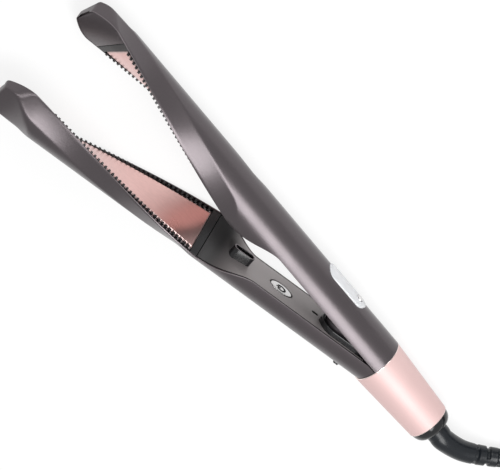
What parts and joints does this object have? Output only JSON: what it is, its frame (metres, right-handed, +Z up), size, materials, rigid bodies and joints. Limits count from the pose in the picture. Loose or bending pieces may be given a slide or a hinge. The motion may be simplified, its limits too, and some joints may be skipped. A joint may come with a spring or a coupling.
{
  "type": "twisted-plate hair straightener",
  "caption": "Hair straightener and curler: two half-round arms on a hinge close into a round barrel round a pair of helically twisted plates with comb teeth.",
  "frame": {"origin": "middle of the footprint of the tool without its cord, on the table it lies on", "axes": "+X along the handle from the cord to the tips, +Y from the fixed arm to the moving arm, +Z up, along the hinge pin"},
  "size_m": [0.4025, 0.2241, 0.03],
  "materials": {
    "shell": "satin mauve-grey metallic",
    "inner_cover": "satin light mauve-grey",
    "plate": "polished rose-gold coating",
    "carrier": "heat-resistant, matte",
    "comb": "heat-resistant, matte",
    "heater": "plain",
    "cushion": "silicone",
    "black_plastic": "glossy black",
    "bracket": "dark mauve-grey",
    "steel": "plain",
    "button": "satin silver",
    "board": "circuit board",
    "window": "clear",
    "sleeve": "satin pale rose gold",
    "cord_rubber": "smooth, half gloss",
    "strap": "hook-and-loop strap",
    "pins": "nickel plated"
  },
  "bodies": {
    "fixed_arm": {"fixed_shell": "shell", "fixed_inner_cover": "inner_cover", "fixed_tip_cover": "shell", "fixed_plate": "plate", "fixed_plate_carrier": "carrier", "fixed_comb_a": "comb", "fixed_comb_b": "comb", "fixed_heater": "heater", "fixed_cushions": "cushion", "alignment_pocket": "black_plastic", "hinge_bracket": "bracket", "hinge_pin": "steel", "opening_spring": "steel", "display_window": "window", "display_module": "black_plastic", "control_board": "board", "handle_sleeve": "sleeve", "end_cap": "black_plastic"},
    "moving_arm": {"moving_shell": "shell", "moving_inner_cover": "inner_cover", "moving_tip_cover": "shell", "moving_plate": "plate", "moving_plate_carrier": "carrier", "moving_comb_a": "comb", "moving_comb_b": "comb", "moving_heater": "heater", "moving_cushions": "cushion", "alignment_boss": "black_plastic", "hinge_liner": "black_plastic", "indicator_light": "black_plastic", "switch_board": "board", "lock_plate": "black_plastic"},
    "power_button": {"power_button": "button"},
    "temperature_button": {"temperature_button": "button"},
    "lock_slider": {"lock_slider": "black_plastic"},
    "cord": {"swivel_hub": "black_plastic", "cord_boot": "cord_rubber", "cord_lead": "cord_rubber", "cord_coil": "cord_rubber", "cord_tail": "cord_rubber", "coil_tie": "strap", "plug_body": "black_plastic", "plug_pins": "pins"}
  },
  "joints": [
    {"name": "arm_hinge", "type": "hinge", "parent": "fixed_arm", "child": "moving_arm", "pos_m": [-0.09825, -0.02842, 0.015], "axis": [0, 0, 1], "range_deg": [-14, 0], "stiffness_Nm_per_rad": 0.15, "springref_deg": 20.05, "deforming": ["opening_spring"]},
    {"name": "power_button_press", "type": "slide", "parent": "moving_arm", "child": "power_button", "axis": [-0.2419, 0.9703, 0], "range_m": [0, 0.0006], "stiffness_N_per_m": 1500, "springref_m": -0.0004},
    {"name": "temperature_button_press", "type": "slide", "parent": "fixed_arm", "child": "temperature_button", "axis": [0, 1, 0], "range_m": [0, 0.0006], "stiffness_N_per_m": 1500, "springref_m": -0.0004},
    {"name": "lock_slide", "type": "slide", "parent": "moving_arm", "child": "lock_slider", "axis": [0.9703, 0.2419, 0], "range_m": [0, 0.005]},
    {"name": "cord_swivel", "type": "hinge", "parent": "fixed_arm", "child": "cord", "pos_m": [-0.15575, -0.02842, 0.015], "axis": [1, 0, 0], "continuous": true}
  ]
}
